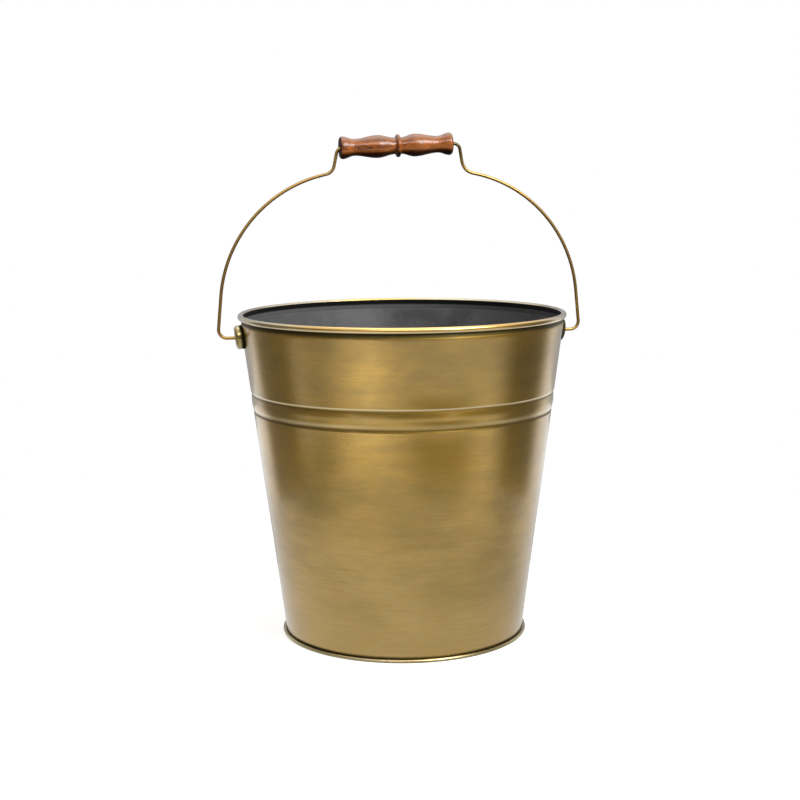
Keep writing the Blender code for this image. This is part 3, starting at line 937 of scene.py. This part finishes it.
def sheet_brass(name, colours, pale, thin, rubbed, creases_and_shade):
    """Antique brass, brushed round the bucket, with an olive patina over the colour thin.

    The thin colour turns pale towards the floor. Rubbed gives masks with their colours, for rubbed brass
    and for painted highlights and painted reflections, and the crease mask gives tarnish with painted
    shade, each made from a height.
    """
    material, finish = new_finish(name)
    warm = (thin[0], 0.9 * thin[1], 0.9 * thin[2])
    low_edge = 0.05
    high_edge = 0.20
    height = finish.height()
    clouds = finish.noise((8, 8, 13), 4.0, 0.55, 0.6)
    drifts = finish.noise((22, 22, 60), 3.0, 0.6, offset=(3, 1, 7))
    streaks = finish.noise((26, 26, 420), 3.0, 0.62)
    hairs = finish.noise((60, 60, 1500), 2.0, 0.6)
    blush = finish.noise((70, 70, 130), 2.0, 0.6, offset=(2, 8, 4))
    patina = finish.ramp(0.62 * clouds + 0.30 * drifts + 0.08 * streaks, 0.34, 0.66)
    patina = patina * (0.45 + 0.55 * finish.ramp(height, 0.02, 0.09))
    base = finish.mix(finish.ramp(height, low_edge, high_edge), pale, thin)
    shade = finish.mix(0.9 * patina, base, colours.olive)
    shade = finish.mix(0.18 * finish.ramp(streaks, 0.42, 0.72), shade, colours.olive)
    shade = finish.mix(0.22 * finish.ramp(blush, 0.42, 0.70), shade, warm)
    shade = finish.mix(0.10 * finish.ramp(hairs, 0.45, 0.75), shade, colours.tarnish_and_painted_shade)
    # Each mark lays its colour: rubbed brass, or a painted highlight, a painted reflection or a painted
    # dark line.
    for mask, painted_sheen_and_wear in rubbed(finish, height):
        shade = finish.mix(mask, shade, painted_sheen_and_wear)
    # The dark mask is tarnish together with painted shade.
    dark = creases_and_shade(finish, height + 0.0016 * (drifts - 0.5))
    shade = finish.mix(dark, shade, colours.tarnish_and_painted_shade)
    roughness = 0.24 + 0.05 * patina + 0.04 * streaks + 0.30 * dark
    waves = finish.noise((16, 16, 10), 1.0, 0.4, offset=(5, 2, 1))
    relief = finish.bump(waves, 0.0011, 0.35)
    relief = finish.bump(0.5 * streaks + 0.5 * hairs, 0.00001, 1.0, relief)
    finish.principled(
        base_color=shade, metallic=1.0, roughness=roughness, anisotropic=0.35,
        anisotropic_rotation=0.25, coat_weight=1 - dark, coat_roughness=0.14, coat_ior=1.6,
        normal=relief,
    )
    return material


def wall_finish(wall, colours):
    """The wall's brass: rubbed on its rolled rim, with painted highlights and painted reflections on the
    rim and the band, painted shade under the rim, and tarnish with painted shade in the band's grooves and
    at the foot.
    """
    bead = wall.height - 2 * bead_radius(wall)
    bottom, top = band_ends(wall)

    def rubbed(finish, height):
        across = finish.sideways()
        # The mask side picks the rim's two sides and its back, which get a painted pale reflection.
        round_back = across + 0.5 * finish.along("Y").larger(0.0)
        side = finish.ramp(round_back, 0.58 * wall.top_radius, 0.92 * wall.top_radius)
        rim = finish.ramp(height, bead - wall.gap, bead + wall.sheet)
        # Painted highlight low on the rolled rim, where it reflects the floor, and a painted dark
        # reflection line along its middle.
        under = 0.9 * finish.band(height, bead + 0.0009, 0.0008, 0.0004)
        line = 0.4 * finish.band(height, bead + 0.0026, 0.0004, 0.0004)
        # Painted highlight along the upper edge of the band.
        edge = 0.95 * finish.band(height, top + 0.0015, 0.0006, 0.0003)
        # Painted pale reflection on the band's lower bend, stronger towards the sides.
        painted_sheen_by_side = 0.3 + 0.7 * finish.ramp(across, 0.2 * wall.top_radius, 0.6 * wall.top_radius)
        swell = 0.5 * painted_sheen_by_side * finish.band(height, bottom + 0.0034, 0.0012, 0.0010)
        return (
            (rim, colours.rubbed), (0.65 * rim * side, colours.painted_rim_reflection), (under, colours.painted_sheen_and_wear),
            (line, colours.tarnish_and_painted_shade), (edge + swell, colours.painted_sheen_and_wear),
        )

    def creases_and_shade(finish, height):
        # Painted shade on the band's upper flank below its upper groove.
        flank = 0.45 * finish.band(height, top - 0.0010, 0.0011, 0.0006)
        # Tarnish with painted shade in the lower groove and on the wall just above the foot ring.
        groove = 0.70 * finish.band(height, bottom + 0.0001, 0.0012, 0.0007)
        foot = 0.95 * (1 - finish.ramp(height, 0.0035, 0.0060))
        # Painted shade on the drawn in stretch under the rolled rim.
        neck = 0.9 * finish.ramp(height, bead - 0.0054, bead - 0.0028)
        neck = neck * (1 - finish.ramp(height, bead - 0.0002, bead + 0.0006))
        return flank + groove + foot + neck

    return sheet_brass("wall_brass", colours, colours.pale, colours.gold, rubbed, creases_and_shade)


def foot_finish(wall, colours):
    """The base's brass, with a painted highlight on the upper bend of the foot ring and painted shade along
    its lower edge.
    """

    def rubbed(finish, height):
        # Painted highlight on the foot ring's upper bend.
        return ((0.5 * finish.ramp(height, 2 * wall.sheet, 3 * wall.sheet), colours.painted_sheen_and_wear),)

    def creases_and_shade(finish, height):
        # Painted shade along the foot ring's lower edge.
        return 0.7 * (1 - finish.ramp(height, wall.sheet / 2, 1.5 * wall.sheet))

    return sheet_brass("foot_ring_brass", colours, colours.foot, colours.foot, rubbed, creases_and_shade)


def ear_finish(wall, ear, colours):
    """Pressed brass with cloudy tarnish, with painted shade beside the wall and over the right ear's edge
    and skirt, where its gloss is also taken away.
    """
    material, finish = new_finish("pressed_brass")
    seat = ear_seat(wall, ear)
    tilt = taper(wall)
    stand = (finish.sideways() - seat.x) * math.cos(tilt) - (finish.height() - seat.y) * math.sin(tilt)
    clouds = finish.noise((90, 90, 90), 3.0, 0.6, 0.4)
    specks = finish.noise((700, 700, 700), 2.0, 0.6)
    shade = finish.mix(finish.ramp(clouds, 0.34, 0.62), colours.foot, colours.olive)
    shade = finish.mix(0.35 * finish.ramp(specks, 0.52, 0.75), shade, colours.tarnish_and_painted_shade)
    # Painted shade on the skirt beside the wall.
    skirt = 1 - finish.ramp(stand + 0.0012 * (clouds - 0.5), 0.15 * ear.depth, 0.45 * ear.depth)
    edge = ear.depth - ear.dome
    # Painted shade over the right ear, which faces away from the light, up to its face's edge.
    painted_right_ear_shade = 1 - finish.ramp(stand, 0.975 * edge, 0.995 * edge)
    painted_right_ear_shade = painted_right_ear_shade * finish.ramp(finish.along("X"), 0.0, seat.x)
    painted_ear_shade = skirt.larger(painted_right_ear_shade)
    shade = finish.mix(painted_ear_shade, shade, colours.tarnish_and_painted_shade)
    roughness = 0.20 + 0.14 * clouds
    relief = finish.bump(0.6 * clouds + 0.4 * specks, 0.00012, 0.5)
    # Where shade is painted the ear loses its metal and coat, so it shows no reflection.
    finish.principled(
        base_color=shade, metallic=1 - painted_ear_shade, roughness=roughness, specular_ior_level=0.0,
        coat_weight=1 - painted_ear_shade, coat_roughness=0.12, coat_ior=1.6, normal=relief,
    )
    return material


def lining_finish(wall, colours):
    """The charcoal inside, a satin coat with faint clouds, with painted light on the drawn in stretch and
    black painted shade under the rolled rim.
    """
    made = bpy.data.materials.get("charcoal_lining")
    if made:
        return made
    material, finish = new_finish("charcoal_lining")
    bead = wall.height - 2 * bead_radius(wall)
    clouds = finish.noise((14, 14, 14), 4.0, 0.6, 0.5)
    grain = finish.noise((650, 650, 650), 2.0, 0.6)
    mottle = finish.ramp(0.75 * clouds + 0.25 * grain, 0.35, 0.68)
    shade = finish.mix(mottle, colours.lining, colours.lining_dark)
    height = finish.height()
    # Painted light on the drawn in stretch below the rim.
    painted_neck_mask = finish.ramp(height, bead - 0.8 * wall.neck, bead - 0.2 * wall.neck)
    shade = finish.mix(painted_neck_mask, shade, colours.painted_neck_light)
    # Painted shade, black and partly metallic, just under the rolled rim.
    painted_rim_shade = finish.ramp(height, bead - 2.4 * wall.sheet, bead + 0.4 * wall.sheet)
    shade = finish.mix(painted_rim_shade, shade, colours.painted_rim_shade)
    roughness = 0.50 + 0.16 * clouds + 0.2 * painted_rim_shade
    relief = finish.bump(0.5 * clouds + 0.5 * grain, 0.0001, 0.5)
    finish.principled(base_color=shade, metallic=0.7 * painted_rim_shade, roughness=roughness, normal=relief)
    return material


def wire_finish(bail, grip, colours):
    """Drawn wire, darkened in patches along it and most beside the grip's right end."""
    material, finish = new_finish("bail_brass")
    tarnish = finish.ramp(finish.noise((18, 18, 18), 1.0, 0.5), 0.38, 0.66)
    shade = finish.mix(0.6 * tarnish, colours.wire, colours.wire_dark)
    place = GRIP_MIDDLE.x + grip.length / 2 + bail.clearance[1]
    # Darker beside the grip's right end.
    darkened_by_grip = 0.8 * finish.band(finish.along("X"), place, 2 * bail.run_bend, bail.run_bend)
    darkened_by_grip = darkened_by_grip * finish.ramp(finish.height(), GRIP_MIDDLE.z - bail.neck_drop[1], GRIP_MIDDLE.z)
    shade = finish.mix(darkened_by_grip, shade, colours.tarnish_and_painted_shade)
    finish.principled(
        base_color=shade, metallic=1.0, roughness=0.32 + 0.08 * tarnish, coat_weight=0.2,
        coat_roughness=0.2, coat_ior=1.5,
    )
    return material


def core_finish(colours):
    """Galvanised wire with a faint spangle."""
    material, finish = new_finish("galvanised_core")
    spangle = finish.noise((300, 300, 300), 2.0, 0.6)
    shade = finish.mix(0.5 * spangle, colours.core, colours.lining)
    finish.principled(base_color=shade, metallic=1.0, roughness=0.38 + 0.2 * spangle)
    return material


def wood_finish(grip, colours):
    """Turned hardwood, stained and varnished, with its grain along the grip.

    Its underside has painted shade and no varnish gloss, its end grain is darker and unvarnished, and a
    greyish painted sheen runs along its top.
    """
    material, finish = new_finish("varnished_wood")
    run = finish.along("X") - GRIP_MIDDLE.x
    lift = finish.height() - GRIP_MIDDLE.z - GRIP_LINE.z / GRIP_LINE.x * run
    half = grip.length / 2
    end = finish.ramp(run.unsigned(), half - grip.end_round / 2, half - grip.end_round / 8)
    rings = finish.noise((45, 420, 420), 3.0, 0.6, 0.8)
    pores = finish.noise((120, 1100, 1100), 2.0, 0.6)
    clouds = finish.noise((40, 60, 60), 3.0, 0.6)
    late = finish.ramp(0.6 * rings + 0.4 * clouds, 0.45, 0.60)
    shade = finish.mix(0.62 * late, colours.wood, colours.dark_grain_and_shade)
    shade = finish.mix(0.6 * finish.ramp(pores, 0.55, 0.72), shade, colours.dark_grain_and_shade)
    # Painted shade along the underside, then joined with the darker end grain; the varnish's gloss is taken
    # away from both.
    painted_shade_and_end_grain = 1 - finish.ramp(lift + 0.005 * (clouds - 0.5), -0.0066, -0.0034)
    painted_shade_and_end_grain = painted_shade_and_end_grain.larger(end)
    # Painted greyish sheen along the top of the grip.
    shade = finish.mix(0.5 * finish.ramp(lift, 0.002, 0.008), shade, colours.painted_wood_sheen)
    shade = finish.mix(0.96 * painted_shade_and_end_grain, shade, colours.dark_grain_and_shade)
    relief = finish.bump(0.6 * rings + 0.4 * pores, 0.00010, 0.5)
    finish.principled(
        base_color=shade, metallic=0.0, roughness=0.42 + 0.15 * pores, specular_ior_level=0.05,
        coat_weight=1 - 0.95 * painted_shade_and_end_grain, coat_roughness=0.19, coat_ior=1.5, normal=relief,
    )
    return material


class LOGBUCKET_OT_wall(bpy.types.Operator):
    """Roll the wall with its rim, band, seam and foot flange, and line its inside."""

    bl_idname = "log_bucket.wall"
    bl_label = "Wall"
    bl_options = {"REGISTER", "UNDO"}

    def execute(self, context):
        wall = context.scene.log_bucket_wall
        colours = context.scene.log_bucket_finish
        item = pressed("brass_wall", wall_path(wall), WALL_STEPS, wall.sheet)
        raise_seam(item, wall)
        cut_rim_joint(item, wall)
        item.data.materials.append(wall_finish(wall, colours))
        lined_to = rim_centre(wall).y + 0.8 * wall.rim_wire

        def is_lining(place, normal):
            return place.z < lined_to and outwards(place, normal) < 0

        paint_faces(item, lining_finish(wall, colours), is_lining)
        smooth(item)
        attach(item, "bucket")
        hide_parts("bucket_wall")
        return {"FINISHED"}


class LOGBUCKET_OT_base(bpy.types.Operator):
    """Press the base with the foot ring that is hooked over the wall's flange."""

    bl_idname = "log_bucket.base"
    bl_label = "Base"
    bl_options = {"REGISTER", "UNDO"}

    def execute(self, context):
        wall = context.scene.log_bucket_wall
        base = context.scene.log_bucket_base
        colours = context.scene.log_bucket_finish
        item = pressed("hooked_base", base_path(wall, base), WALL_STEPS, wall.sheet)
        item.data.materials.append(foot_finish(wall, colours))

        def is_lining(place, normal):
            inside = math.hypot(place.x, place.y) < wall.foot_radius
            return inside and place.z > base.recess + wall.sheet / 2 and normal.z > 0.5

        paint_faces(item, lining_finish(wall, colours), is_lining)
        smooth(item)
        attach(item, "bucket")
        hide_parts("bucket_base")
        return {"FINISHED"}


class LOGBUCKET_OT_rim_wire(bpy.types.Operator):
    """Give the wire in the rolled rim its galvanised finish."""

    bl_idname = "log_bucket.rim_wire"
    bl_label = "Rim Wire"
    bl_options = {"REGISTER", "UNDO"}

    def execute(self, context):
        material = core_finish(context.scene.log_bucket_finish)
        wire = frame["nodes"]["rim_wire"]
        wire.data.materials.clear()
        wire.data.materials.append(material)
        return {"FINISHED"}


class LOGBUCKET_OT_ears(bpy.types.Operator):
    """Press the two ears and seat them on the sloping wall."""

    bl_idname = "log_bucket.ears"
    bl_label = "Ears"
    bl_options = {"REGISTER", "UNDO"}

    def execute(self, context):
        wall = context.scene.log_bucket_wall
        ear = context.scene.log_bucket_ear
        material = ear_finish(wall, ear, context.scene.log_bucket_finish)
        cutters = [seat_cutter(wall, ear), hole_cutter(wall, ear)]
        seat = ear_seat(wall, ear)
        for name, node, angle in (("right_ear", "ear_right", 0.0), ("left_ear", "ear_left", math.pi)):
            item = pressed(name, ear_path(ear), EAR_STEPS, ear.sheet)
            item.location = (seat.x * math.cos(angle), seat.x * math.sin(angle), seat.y)
            item.rotation_euler = (0, math.pi / 2 + taper(wall), angle)
            settle(item)
            for cutter in cutters:
                modify(item, "BOOLEAN", operation="DIFFERENCE", solver="EXACT", object=cutter)
            item.data.materials.clear()
            item.data.materials.append(material)
            smooth(item)
            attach(item, "bucket")
            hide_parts(node)
        for cutter in cutters:
            take(cutter)
            bpy.ops.object.delete()
        return {"FINISHED"}


class LOGBUCKET_OT_bail(bpy.types.Operator):
    """Bend the bail wire with its upset heads."""

    bl_idname = "log_bucket.bail"
    bl_label = "Bail"
    bl_options = {"REGISTER", "UNDO"}

    def execute(self, context):
        scene = context.scene
        bail = scene.log_bucket_bail
        grip = scene.log_bucket_grip
        points, shares = bail_stations(scene.log_bucket_wall, scene.log_bucket_ear, bail, grip)
        draw_path("bent_bail", points)
        bpy.ops.object.mode_set(mode="OBJECT")
        bpy.ops.object.convert(target="CURVE")
        curve = bpy.context.object.data
        curve.bevel_depth = bail.wire
        curve.bevel_resolution = WIRE_ROUNDS
        curve.use_fill_caps = True
        for point, share in zip(curve.splines[0].points, shares):
            point.radius = share
        bpy.ops.object.convert(target="MESH")
        item = named("bent_bail")
        bpy.ops.object.mode_set(mode="EDIT")
        weld()
        bpy.ops.object.mode_set(mode="OBJECT")
        item.data.materials.clear()
        item.data.materials.append(wire_finish(bail, grip, scene.log_bucket_finish))
        smooth(item)
        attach(item, "bail")
        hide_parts("bail_wire")
        return {"FINISHED"}


class LOGBUCKET_OT_grip(bpy.types.Operator):
    """Turn the wooden grip with its swells, necks and middle bead."""

    bl_idname = "log_bucket.grip"
    bl_label = "Grip"
    bl_options = {"REGISTER", "UNDO"}

    def execute(self, context):
        grip = context.scene.log_bucket_grip
        item = turned("turned_grip", grip_outline(grip), GRIP_STEPS)
        item.rotation_euler = GRIP_LINE.to_track_quat("Z", "Y").to_euler()
        item.location = GRIP_MIDDLE
        settle(item)
        item.data.materials.append(wood_finish(grip, context.scene.log_bucket_finish))
        smooth(item)
        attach(item, "grip")
        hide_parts("wooden_grip")
        return {"FINISHED"}


def floor_material(studio):
    """A pale floor that is white in reflections, and for the camera away from the shadow."""
    material, finish = new_finish("pale_floor")
    ray = finish.node("ShaderNodeLightPath").outputs
    camera = Value(finish, ray["Is Camera Ray"])
    sockets = {0: finish.matt(studio.floor_albedo), 1: finish.glow(camera * studio.floor_lift)}
    lit = finish.node("ShaderNodeAddShader", None, sockets).outputs[0]
    away = finish.ramp(finish.from_origin(), studio.shadow_reach / 2, studio.shadow_reach)
    white = (camera * away).larger(Value(finish, ray["Is Glossy Ray"]))
    shown = finish.blend(white, lit, finish.glow(1.0))
    finish.end(finish.blend(ray["Is Diffuse Ray"], shown, finish.matt(studio.floor_bounce)))
    return material


def around(azimuth, distance, height):
    """A place by its azimuth in degrees from the front to the right, and its distance."""
    angle = math.radians(azimuth)
    return Vector((distance * math.sin(angle), -distance * math.cos(angle), height))


def add_plane(name, place, rotation, width, tall):
    """A plane with its own width and height."""
    plane = added(
        bpy.ops.mesh.primitive_plane_add, name, size=1.0, location=place, rotation=rotation
    )
    plane.scale = (width, tall, 1)
    return plane


def make_card(card, make_mask, strength, tint=(1, 1, 1)):
    """Make a card glow where its mask is 1, clear where it is 0 and seen only in reflections."""
    material, finish = new_finish(card.name)
    clear = finish.node("ShaderNodeBsdfTransparent").outputs[0]
    finish.end(finish.blend(make_mask(finish), clear, finish.glow(strength, tint)))
    card.data.materials.append(material)
    card.visible_camera = False
    card.visible_diffuse = False
    card.visible_transmission = False
    card.visible_shadow = False


def stand_card(name, azimuth, distance, width, tall, strength, tint, soft):
    """Stand a card on the floor, facing the bucket, with a soft top and soft sides."""
    rotation = (math.pi / 2, 0, math.radians(azimuth))
    card = add_plane(name, around(azimuth, distance, tall / 2), rotation, width, tall)

    def make_mask(finish):
        across = finish.band(finish.along("X", "Generated"), 0.5, 0.5 - soft / 2, soft / 2)
        return across * (1 - finish.ramp(finish.along("Y", "Generated"), 0.8, 1.0))

    make_card(card, make_mask, strength, tint)


def lay_card(name, azimuth, distance, width, deep, strength):
    """Lay a card with soft edges on the floor."""
    rotation = (0, 0, math.radians(azimuth))
    card = add_plane(name, around(azimuth, distance, CARD_LIFT), rotation, width, deep)

    def make_mask(finish):
        across = finish.band(finish.along("X", "Generated"), 0.5, 0.3, 0.2)
        return across * finish.band(finish.along("Y", "Generated"), 0.5, 0.3, 0.2)

    make_card(card, make_mask, strength)


def lay_ring(name, inner, outer, strength):
    """Lay a soft grey ring round the foot, as the bucket's own shade looks in its brass."""
    ring = added(
        bpy.ops.mesh.primitive_circle_add, name,
        vertices=SHADE_STEPS, radius=outer, fill_type="NGON", location=(0, 0, CARD_LIFT / 2),
    )

    def make_mask(finish):
        return 1 - finish.ramp(finish.from_origin(), inner, outer)

    make_card(ring, make_mask, strength)


def add_lamp(name, azimuth, elevation, distance, width, tall, power):
    """Hang a soft lamp that faces the middle of the bucket."""
    rise = math.radians(elevation)
    middle = Vector((0, 0, CAD_BOX[1].z / 2))
    place = middle + around(azimuth, distance * math.cos(rise), distance * math.sin(rise))
    lamp = added(bpy.ops.object.light_add, name, type="AREA", location=place)
    lamp.data.shape = "RECTANGLE"
    lamp.data.size = width
    lamp.data.size_y = tall
    lamp.data.energy = power
    lamp.rotation_euler = (middle - place).to_track_quat("-Z", "Y").to_euler()


def set_world(studio):
    """A white world, softer as a light than it looks."""
    world = bpy.context.scene.world or bpy.data.worlds.new("studio")
    bpy.context.scene.world = world
    world.use_nodes = True
    finish = Finish(world.node_tree)
    ray = finish.node("ShaderNodeLightPath").outputs
    seen = Value(finish, ray["Is Camera Ray"]).larger(Value(finish, ray["Is Glossy Ray"]))
    seen = seen.larger(Value(finish, ray["Is Transmission Ray"]))
    strength = studio.ambient + (1 - studio.ambient) * seen
    sockets = {"Color": (1, 1, 1, 1), "Strength": strength}
    background = finish.node("ShaderNodeBackground", None, sockets)
    finish.end(background.outputs[0], "ShaderNodeOutputWorld")


def add_camera(studio):
    """Set the camera where the picture was taken."""
    camera = added(bpy.ops.object.camera_add, "camera")
    camera.data.lens = studio.focal
    camera.data.sensor_width = SENSOR_WIDTH
    turned_by = Matrix.Rotation(studio.azimuth - studio.yaw, 4, "Z")
    tilted = Matrix.Rotation(math.pi / 2 - studio.pitch, 4, "X")
    rolled = Matrix.Rotation(studio.roll, 4, "Z")
    place = around(math.degrees(studio.azimuth), studio.distance, studio.camera_height)
    camera.matrix_world = Matrix.Translation(place) @ turned_by @ tilted @ rolled
    bpy.context.scene.camera = camera


class LOGBUCKET_OT_stage(bpy.types.Operator):
    """Set the floor, the lamps, the reflecting cards, the world and the camera."""

    bl_idname = "log_bucket.stage"
    bl_label = "Stage"
    bl_options = {"REGISTER", "UNDO"}

    def execute(self, context):
        studio = context.scene.log_bucket_studio
        floor = added(bpy.ops.mesh.primitive_plane_add, "floor", size=FLOOR_SIZE)
        floor.data.materials.append(floor_material(studio))
        facing = math.degrees(studio.azimuth)
        for name, azimuth, *card in STANDING_CARDS:
            stand_card(name, facing + azimuth, *card)
        lay_ring("floor_shade", *FLOOR_SHADE)
        for name, azimuth, *card in FLOOR_CARDS:
            lay_card(name, facing + azimuth, *card)
        for name, azimuth, *lamp in LAMPS:
            add_lamp(name, facing + azimuth, *lamp)
        bpy.data.objects["gloss_lamp"].visible_diffuse = False
        set_world(studio)
        add_camera(studio)
        context.scene.view_settings.view_transform = "Standard"
        return {"FINISHED"}


STEPS = ("wall", "base", "rim_wire", "ears", "bail", "grip", "stage")
GROUPS = {
    "log_bucket_wall": LOGBUCKET_PG_wall,
    "log_bucket_base": LOGBUCKET_PG_base,
    "log_bucket_ear": LOGBUCKET_PG_ear,
    "log_bucket_bail": LOGBUCKET_PG_bail,
    "log_bucket_grip": LOGBUCKET_PG_grip,
    "log_bucket_finish": LOGBUCKET_PG_finish,
    "log_bucket_studio": LOGBUCKET_PG_studio,
}


class LOGBUCKET_PT_panel(bpy.types.Panel):
    """The bucket's steps and sizes in the sidebar."""

    bl_idname = "LOGBUCKET_PT_panel"
    bl_label = "Log Bucket"
    bl_space_type = "VIEW_3D"
    bl_region_type = "UI"
    bl_category = "Log Bucket"

    def draw(self, context):
        layout = self.layout
        for step in STEPS:
            layout.operator("log_bucket." + step)
        for name, group in GROUPS.items():
            box = layout.box()
            box.label(text=group.__doc__)
            for field in group.__annotations__:
                box.prop(getattr(context.scene, name), field)


CLASSES = (
    *GROUPS.values(),
    LOGBUCKET_OT_wall,
    LOGBUCKET_OT_base,
    LOGBUCKET_OT_rim_wire,
    LOGBUCKET_OT_ears,
    LOGBUCKET_OT_bail,
    LOGBUCKET_OT_grip,
    LOGBUCKET_OT_stage,
    LOGBUCKET_PT_panel,
)


def register():
    for item in CLASSES:
        bpy.utils.register_class(item)
    for name, group in GROUPS.items():
        setattr(bpy.types.Scene, name, bpy.props.PointerProperty(type=group))


def unregister():
    for name in GROUPS:
        delattr(bpy.types.Scene, name)
    for item in reversed(CLASSES):
        bpy.utils.unregister_class(item)


def main():
    register()
    for step in STEPS:
        getattr(bpy.ops.log_bucket, step)()


if __name__ == "__main__":
    main()
